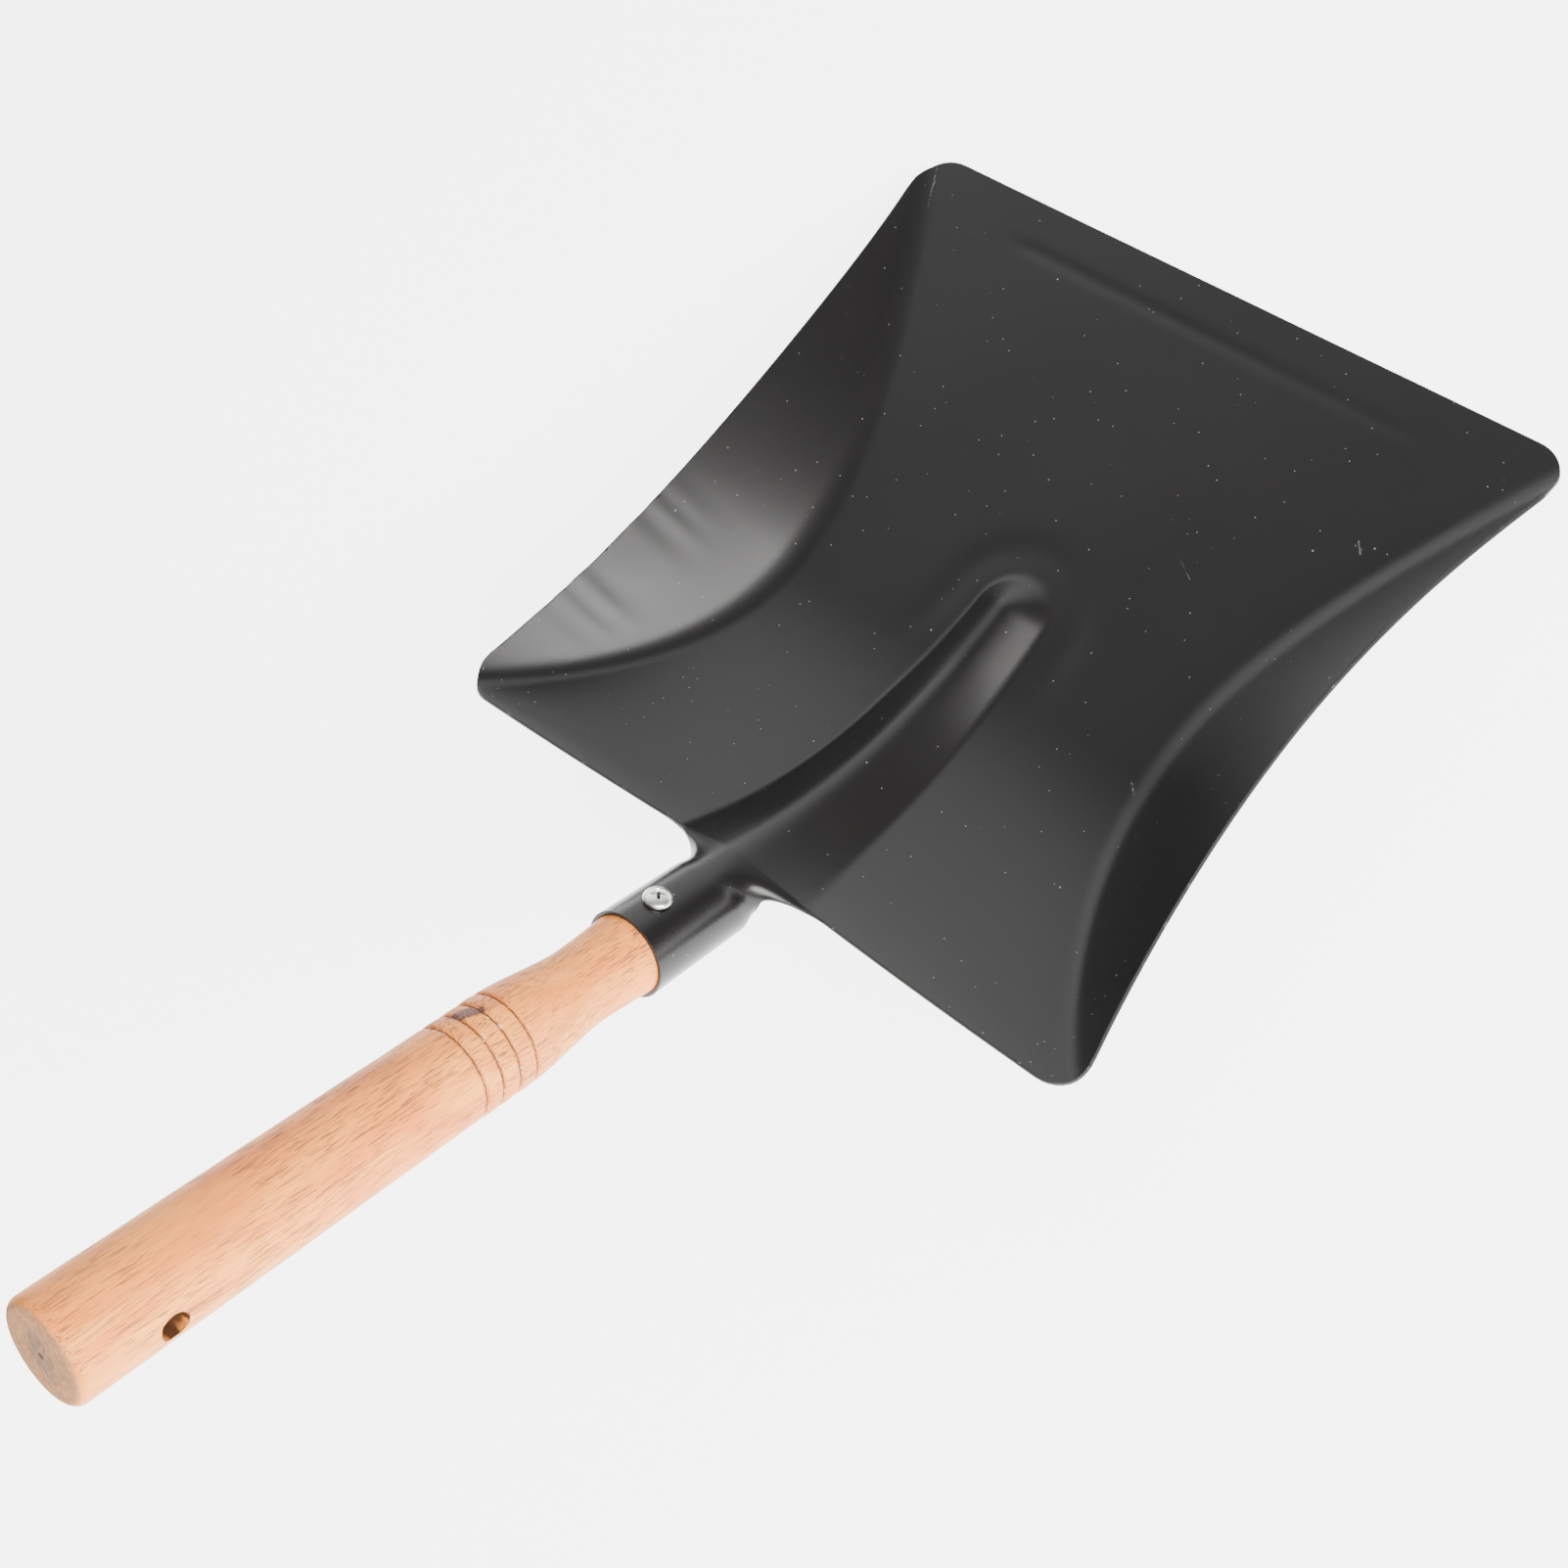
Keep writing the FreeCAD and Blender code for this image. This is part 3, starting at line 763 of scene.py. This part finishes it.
# Places of the chips on the edges, in millimetres.
NICKS = ((99.0, 90.0, 25.0), (101.0, 186.0, 11.0), (-104.0, 36.0, 34.5), (11.6, -33.5, 28.5))


def scratches(look, place):
    """All scratches, broken up along their length."""
    total = None
    for start, end, width in SCRATCHES:
        line = scratch(look, place, start, end, width * MM)
        total = line if total is None else look.maths("MAXIMUM", total, line)
    return total * look.fade(look.noise(place, 900, 2), 0.36, 0.56)


def edge_wear(look, place, edge):
    """Where the coat is thin on the sheet's edges, and chipped at a few nicks."""
    thin = edge * look.fade(look.noise(place, 160, 3, 0.6), 0.60, 0.80) * 0.35
    for nick in NICKS:
        off = look.size(look.vector("SUBTRACT", place, tuple(Vector(nick) * MM)))
        thin = look.maths("MAXIMUM", thin, edge * look.fade(off, 2.2 * MM, 0.8 * MM))
    return thin


def coat_material(b, c):
    """Satin black powder coat with orange peel, dust, scratches and thin edges."""
    material, look = new_look("black_powder_coat")
    place = drafting_place(look, b)
    edge = look.node("ShaderNodeAttribute", {"attribute_name": "edge"}, None, "Fac")
    cloud = look.noise(place, 24, 3, 0.6)
    peel = look.noise(place, 1500, 2, 0.55)
    dust = look.maths("MAXIMUM", specks(look, place, 250, 0.22 * MM),
                      specks(look, place, 100, 0.34 * MM))
    lines = scratches(look, place)
    wear = edge_wear(look, place, edge)
    colour = look.mix(cloud * 0.5, c.coat, tuple(v * 1.5 for v in c.coat))
    colour = look.mix(edge * 0.30, colour, EDGE_COAT)
    colour = look.mix(dust * 0.40, colour, c.dust)
    colour = look.mix(lines * 0.32, colour, SCRATCHED)
    colour = look.mix(wear * 0.8, colour, BARE_STEEL)
    tube = look.fade(look.dot(place, (0, 1, 0)), 12 * MM, -8 * MM)
    rough = 0.34 + (cloud - 0.5) * 0.07 + (peel - 0.5) * 0.06 - tube * 0.07
    rough = rough + dust * 0.3 + lines * 0.1
    height = peel + dust * 1.5 - lines * 1.2
    look.surface({"Base Color": colour, "Roughness": rough, "Normal": look.bump(height, 0.009 * MM),
                  "Specular IOR Level": 0.36})
    return material


# ---------- the wood ----------
PALE_STREAK = (0.98, 0.42, 0.10)
STAIN = (0.50, 0.17, 0.045)
FLECK = (0.33, 0.10, 0.035)
RAY = (0.52, 0.18, 0.05)
SCORCHED = (0.55, 0.20, 0.06)          # warm band along a turned groove
BURNISHED = (0.13, 0.045, 0.018)       # bottom of a turned groove
TORN_FIBRE = (0.92, 0.84, 0.76)
KNOT_RING = (0.50, 0.17, 0.05)
KNOT_HEART = (0.24, 0.105, 0.075)
END_PALE, END_DARK = (0.62, 0.31, 0.135), (0.36, 0.17, 0.075)
END_RING = (0.34, 0.16, 0.075)
END_HEART = (0.20, 0.135, 0.10)
PITH = (0.05, 0.022, 0.014)
# painted shade inside the hanging hole: its deepest and its lightest tone
HOLE_SHADE_DEEP, HOLE_SHADE_LIGHT = (0.022, 0.010, 0.005), (0.07, 0.032, 0.016)


def around_axis(look, place):
    """Distance along the handle's axis and the two offsets across it."""
    off = look.vector("SUBTRACT", place, (0, 0, AXIS_HEIGHT))
    return look.dot(off, AXIS), look.dot(off, ACROSS), look.dot(off, AXIS_UP)


def spot(look, t, x, up, at, angle, radius, long, wide, lean=0.0):
    """Distance from an oval mark on the handle's side, 1 at its outline; angles in degrees."""
    turn = math.radians(angle)
    out = x * math.sin(turn) + up * math.cos(turn) - radius
    side = x * math.cos(turn) - up * math.sin(turn)
    along = t - at
    lean = math.radians(lean)
    first = (along * math.cos(lean) + side * math.sin(lean)) / long
    second = (side * math.cos(lean) - along * math.sin(lean)) / wide
    return look.size(look.join(first, second, out / (4 * MM)))


def grooves(look, h, t, ragged):
    """Distance from the middle of the nearest turned groove, a little ragged."""
    count = (t - h.groove) / h.groove_step
    nearest = look.node("ShaderNodeClamp", None, {0: look.maths("ROUND", count), 1: 0.0, 2: 3.0})
    off = look.maths("ABSOLUTE", count - nearest) * h.groove_step
    return off + (ragged - 0.5) * 0.5 * MM


def wood_material(b, h, c):
    """Turned light hardwood: pores, a knot, burnished grooves, end grain and painted shade inside
    the hanging hole.
    """
    material, look = new_look("turned_hardwood")
    place = drafting_place(look, b)
    t, x, up = around_axis(look, place)
    knot = spot(look, t, x, up, 98 * MM, -17.5, h.grip_r, 4.3 * MM, 1.75 * MM, -30)
    pull = look.fade(knot, 3.5, 0.6) * 1.4 * MM
    x_bent, up_bent = x + pull, up - pull
    figure = look.noise(look.join(x, up, t * 0.32), 75, 3, 0.55, 0.6)
    streak = look.noise(look.join(x_bent, up_bent, t * 0.045), 330, 4, 0.6)
    fine = look.noise(look.join(x_bent, up_bent, t * 0.05), 2900, 2, 0.6)
    dense = look.fade(look.noise(look.join(x, up, t * 0.3), 110, 2), 0.34, 0.60) * 0.7 + 0.3
    pores = look.fade(fine, 0.54, 0.60) * dense
    ragged = look.noise(place, 750, 3, 0.7)
    colour = look.mix(look.fade(figure, 0.34, 0.68), c.wood, c.grain)
    colour = look.mix(look.fade(streak, 0.45, 0.70) * 0.40, colour, c.grain)
    colour = look.mix(look.fade(streak, 0.48, 0.30) * 0.22, colour, PALE_STREAK)
    colour = look.mix(pores * 0.88, colour, c.pore)
    colour = side_marks(look, t, x, up, colour)
    colour, groove = groove_marks(look, h, t, ragged, colour)
    colour, knot_depth = knot_marks(look, knot, ragged, colour, c)
    end = look.fade(t, h.end - 0.9 * MM, h.end - 0.15 * MM)
    colour = end_grain(look, x, up, end, ragged, colour)
    # painted shade inside the hanging hole, varied between two tones by the streak noise
    hole = look.size(look.join(t - h.hang, up, 0.0))
    inside = look.fade(hole, h.hang_r + 0.5 * MM, h.hang_r + 0.1 * MM)
    colour = look.mix(inside * 0.96, colour, look.mix(streak, HOLE_SHADE_DEEP, HOLE_SHADE_LIGHT))
    height = pores * -0.6 + streak * 0.25 + groove * -0.8 + knot_depth * -1.0
    height = height + end * ragged * 1.2 + ragged * 0.12
    rough = 0.50 + pores * 0.2 + groove * 0.25 + end * 0.3 + (streak - 0.5) * 0.12
    look.surface({"Base Color": colour, "Roughness": rough, "Normal": look.bump(height, 0.10 * MM),
                  "Specular IOR Level": 0.3})
    return material


def side_marks(look, t, x, up, colour):
    """Stains and flecks along the handle's side."""
    blotch = look.noise(look.join(x, up, t * 0.5), 420, 3, 0.7)
    oval = spot(look, t, x, up, 80.5 * MM, 62, 11.6 * MM, 4.5 * MM, 2.6 * MM)
    stain = look.fade(oval, 1.3, 0.2)
    colour = look.mix(stain * look.fade(blotch, 0.35, 0.65) * 0.5, colour, STAIN)
    oval = spot(look, t, x, up, 76 * MM, -24, 11.4 * MM, 6.0 * MM, 1.7 * MM, -8)
    fleck = look.fade(oval, 1.2, 0.3)
    colour = look.mix(fleck * look.fade(blotch, 0.45, 0.62) * 0.55, colour, FLECK)
    ray = look.noise(look.join(x, up, t * 0.16), 850, 2, 0.5)
    return look.mix(look.fade(ray, 0.62, 0.75) * 0.30, colour, RAY)


def groove_marks(look, h, t, ragged, colour):
    """Burnished brown lines in the grooves, with pale torn fibres along them."""
    off = grooves(look, h, t, ragged)
    line = look.fade(off, 0.48 * MM, 0.10 * MM)
    halo = look.fade(off, 1.6 * MM, 0.5 * MM)
    torn = halo * look.fade(ragged, 0.60, 0.68)
    colour = look.mix(halo * 0.22, colour, SCORCHED)
    colour = look.mix(line * look.fade(ragged, 0.18, 0.50) * 0.95, colour, BURNISHED)
    colour = look.mix(torn * 0.70, colour, TORN_FIBRE)
    return colour, line


def knot_marks(look, knot, ragged, colour, c):
    """The small knot: a reddish ring, a dull heart and dark cracks."""
    warped = knot + (ragged - 0.5) * 0.7
    ring = look.fade(warped, 1.9, 0.9)
    heart = look.fade(warped, 1.10, 0.90)
    crack = look.fade(look.maths("ABSOLUTE", ragged - 0.5), 0.05, 0.01)
    colour = look.mix(ring * 0.45, colour, KNOT_RING)
    colour = look.mix(heart, colour, KNOT_HEART)
    colour = look.mix(heart * crack, colour, c.knot)
    rim = look.fade(look.maths("ABSOLUTE", warped - 1.0), 0.16, 0.04)
    return look.mix(rim * 0.75, colour, c.knot), heart * (0.5 + crack * 0.5)


def end_grain(look, x, up, end, ragged, colour):
    """The sawn end: dull fuzzy end grain, faint rings, a grey heart and the pith."""
    wander = (look.noise(look.join(x, up, 0.0), 160, 3, 0.6) - 0.5) * 2.6 * MM
    from_pith = look.size(look.join(x, up, 0.0))
    rings = look.maths("SINE", (from_pith + wander * 0.5) * (2 * math.pi / (1.7 * MM))) * 0.5 + 0.5
    face = look.mix(look.fade(ragged, 0.3, 0.7), END_PALE, END_DARK)
    face = look.mix(rings * 0.22, face, END_RING)
    short = (x * 0.92 + up * 0.38) / (4.6 * MM)
    long = (up * 0.92 - x * 0.38) / (7.4 * MM)
    leaning = look.size(look.join(short, long, 0.0))
    heart = look.fade(leaning + wander / (3 * MM), 1.15, 0.75)
    face = look.mix(heart * look.fade(ragged, 0.15, 0.6) * 0.75, face, END_HEART)
    pith = look.fade(look.size(look.join(x / 1.5, up * 0.8, 0.0)), 0.85 * MM, 0.4 * MM)
    face = look.mix(pith * 0.9, face, PITH)
    return look.mix(end, colour, face)


# ---------- the screw's plate ----------
RECESS_SHADE = (0.07, 0.065, 0.05)            # painted shade in the cross recess
UNDER_HEAD_SHADE = (0.06, 0.06, 0.06)        # painted shade along the head's underside, where the head meets the socket


def zinc_material(b, w, c):
    """Bright zinc plate, faintly mottled, with painted shade in the cross recess and along the
    head's underside.
    """
    material, look = new_look("bright_zinc")
    place = drafting_place(look, b)
    off = look.vector("SUBTRACT", place, tuple(screw_seat(b, w)))
    up = look.dot(off, AXIS_UP)
    out = look.size(look.join(look.dot(off, AXIS), look.dot(off, ACROSS), 0.0))
    mottle = look.noise(place, 900, 3, 0.6)
    pits = look.noise(place, 3200, 2, 0.6)
    # the cross recess, where shade is painted in and the plate is rougher
    recess = look.fade(up, 1.85 * MM, 1.35 * MM) * look.fade(out, 2.9 * MM, 2.4 * MM)
    # the head's underside edge by the socket, where shade is painted in
    under = look.fade(up, 0.45 * MM, 0.10 * MM)
    colour = look.mix(look.fade(mottle, 0.35, 0.70), c.zinc, tuple(v * 0.78 for v in c.zinc))
    # painted shade in the cross recess and along the head's underside
    colour = look.mix(recess * 0.92, colour, RECESS_SHADE)
    colour = look.mix(under * 0.6, colour, UNDER_HEAD_SHADE)
    rough = 0.22 + mottle * 0.16 + recess * 0.25
    look.surface({"Base Color": colour, "Metallic": 1.0, "Roughness": rough,
                  "Normal": look.bump(mottle * 2.0 + pits * 0.5, 0.03 * MM)})
    return material


# ---------- the studio ----------
FLOOR_HALF = 2.2                       # metres
GLOW_MIDDLE = (-0.115, 0.02, 0.0)      # middle of the floor's painted glow, its brightest place
AHEAD, AHEAD_POWER = Vector((-0.60, 0.78, 0.22)), 2.2
LEFT, LEFT_POWER = Vector((-0.80, 0.20, 0.56)), 0.8
LIT_PLACE = (0.0, 0.03, 0.03)
# Name, direction, distance, size, power and tint of each soft light.
SOFTBOXES = (
    ("key", (0.817, -0.189, 0.545), 1.25, (1.15, 0.55), 53.0, (1.0, 0.985, 0.97)),
    ("top", (0.50, -0.25, 0.83), 1.5, (0.9, 0.7), 8.0, (1.0, 0.99, 0.98)),
)
SENSOR, LENS = 36.0, 56.18             # millimetres
CAMERA_RIGHT = Vector((0.74761, 0.58798, -0.30880))
CAMERA_UP = Vector((-0.49000, 0.80220, 0.34114))
CAMERA_PLACE = Vector((293.36, -42.40, 629.68))  # millimetres, in the drafting frame


def floor_material(c):
    """Plain matt pale floor with a painted glow round the shovel, like a light table lit faintly
    from below.
    """
    material, look = new_look("studio_floor")
    here = look.node("ShaderNodeTexCoord", None, None, "Object")
    cloud = look.noise(here, 6, 3, 0.5)
    colour = look.mix(cloud, c.floor, tuple(v * 0.975 for v in c.floor))
    # painted glow: bright round GLOW_MIDDLE, fading to almost nothing further out
    near = look.fade(look.size(look.vector("SUBTRACT", here, GLOW_MIDDLE)), 1.3, 0.40) ** 5
    glow = look.mix(near, (0.04, 0.04, 0.04), (1.0, 0.995, 0.99))
    look.surface({"Base Color": colour, "Roughness": 0.85, "Specular IOR Level": 0.2,
                  "Emission Color": glow, "Emission Strength": 4.8})
    return material


def studio_floor(c):
    """A large square floor just under the shovel."""
    half = FLOOR_HALF
    low = CAD_BOX[0][2]
    points = [(-half, -half, low), (half, -half, low), (half, half, low), (-half, half, low)]
    mesh = bpy.data.meshes.new("studio_floor")
    mesh.from_pydata(points, [], [(0, 1, 2, 3)])
    mesh.materials.append(floor_material(c))
    floor = bpy.data.objects.new("studio_floor", mesh)
    bpy.context.scene.collection.objects.link(floor)


def softbox(name, direction, distance, size, power, tint):
    """A rectangular soft light that faces the shovel from a direction."""
    light = bpy.data.lights.new(name, "AREA")
    light.shape = "RECTANGLE"
    light.size = size[0]
    light.size_y = size[1]
    light.energy = power
    light.color = tint
    item = bpy.data.objects.new(name, light)
    bpy.context.scene.collection.objects.link(item)
    away = Vector(direction).normalized()
    item.location = Vector(LIT_PLACE) + away * distance
    item.rotation_euler = away.to_track_quat("Z", "Y").to_euler()
    item.visible_camera = False


def studio_world():
    """A dim room, lighter overhead and lightest ahead on the left."""
    world = bpy.data.worlds.new("studio")
    world.use_nodes = True
    bpy.context.scene.world = world
    look = Look(world.node_tree)
    way = look.node("ShaderNodeTexCoord", None, None, "Generated")
    ahead = look.fade(look.dot(way, AHEAD.normalized()), 0.56, 0.97)
    left = look.fade(look.dot(way, LEFT.normalized()), 0.84, 0.99)
    above = look.fade(look.dot(way, (0, 0, 1)), 0.05, 0.75)
    strength = 0.16 + above * 0.34 + ahead * AHEAD_POWER + left * LEFT_POWER
    shader = look.node("ShaderNodeBackground", None,
                       {"Color": (1.0, 0.99, 0.98, 1.0), "Strength": strength})
    look.node("ShaderNodeOutputWorld", None, {"Surface": shader})


def studio_camera(b):
    """A camera at the shovel's right side, looking steeply down, with the handle to a corner."""
    camera = bpy.data.cameras.new("camera")
    camera.sensor_width = SENSOR
    camera.lens = LENS
    item = bpy.data.objects.new("camera", camera)
    bpy.context.scene.collection.objects.link(item)
    turn = Matrix((CAMERA_RIGHT, CAMERA_UP, CAMERA_RIGHT.cross(CAMERA_UP))).transposed()
    item.matrix_world = Matrix.Translation(origin(b) + CAMERA_PLACE * MM) @ turn.to_4x4()
    bpy.context.scene.camera = item


# ---------- operators, panel and registration ----------
class SHOVEL_OT_blade(bpy.types.Operator):
    """Builds the pressed blade with its rib and rolled socket"""
    bl_idname = "shovel.blade"
    bl_label = "Blade"

    def execute(self, context):
        scene = context.scene
        blade_piece(scene.shovel_blade, coat_material(scene.shovel_blade, scene.shovel_finishes))
        return {"FINISHED"}


class SHOVEL_OT_handle(bpy.types.Operator):
    """Builds the turned wooden handle with its hanging hole"""
    bl_idname = "shovel.handle"
    bl_label = "Handle"

    def execute(self, context):
        scene = context.scene
        wood = wood_material(scene.shovel_blade, scene.shovel_handle, scene.shovel_finishes)
        handle_piece(scene.shovel_blade, scene.shovel_handle, wood)
        return {"FINISHED"}


class SHOVEL_OT_screw(bpy.types.Operator):
    """Builds the pan-head screw that holds the handle in the socket"""
    bl_idname = "shovel.screw"
    bl_label = "Socket screw"

    def execute(self, context):
        scene = context.scene
        zinc = zinc_material(scene.shovel_blade, scene.shovel_screw, scene.shovel_finishes)
        screw_piece(scene.shovel_blade, scene.shovel_screw, zinc)
        return {"FINISHED"}


class SHOVEL_OT_stage(bpy.types.Operator):
    """Sets up the floor, the soft lights, the room and the camera"""
    bl_idname = "shovel.stage"
    bl_label = "Studio"

    def execute(self, context):
        scene = context.scene
        studio_floor(scene.shovel_finishes)
        studio_world()
        for box in SOFTBOXES:
            softbox(*box)
        studio_camera(scene.shovel_blade)
        return {"FINISHED"}


class SHOVEL_PT_panel(bpy.types.Panel):
    """Sizes, finishes and build steps of the shovel"""
    bl_idname = "SHOVEL_PT_panel"
    bl_label = "Scoop shovel"
    bl_space_type = "VIEW_3D"
    bl_region_type = "UI"
    bl_category = "Shovel"

    def draw(self, context):
        for step in STEPS:
            self.layout.operator(step.bl_idname)
        for name in SETTINGS:
            box = self.layout.box()
            box.label(text=name.replace("shovel_", "").capitalize())
            group = getattr(context.scene, name)
            for key in group.__annotations__:
                box.prop(group, key)


SETTINGS = {"shovel_blade": BladeSizes, "shovel_handle": HandleSizes, "shovel_screw": ScrewSizes,
            "shovel_finishes": Finishes}
STEPS = (SHOVEL_OT_blade, SHOVEL_OT_handle, SHOVEL_OT_screw, SHOVEL_OT_stage)
CLASSES = (*SETTINGS.values(), *STEPS, SHOVEL_PT_panel)


def register():
    """Registers the classes and hangs the settings on the scene."""
    for item in CLASSES:
        bpy.utils.register_class(item)
    for name, group in SETTINGS.items():
        setattr(bpy.types.Scene, name, bpy.props.PointerProperty(type=group))


def unregister():
    """Takes the settings and the classes away again."""
    for name in SETTINGS:
        delattr(bpy.types.Scene, name)
    for item in reversed(CLASSES):
        bpy.utils.unregister_class(item)


def main():
    """Builds the shovel and its studio."""
    register()
    bpy.ops.shovel.blade()
    bpy.ops.shovel.handle()
    bpy.ops.shovel.screw()
    bpy.ops.shovel.stage()


if __name__ == "__main__":
    main()
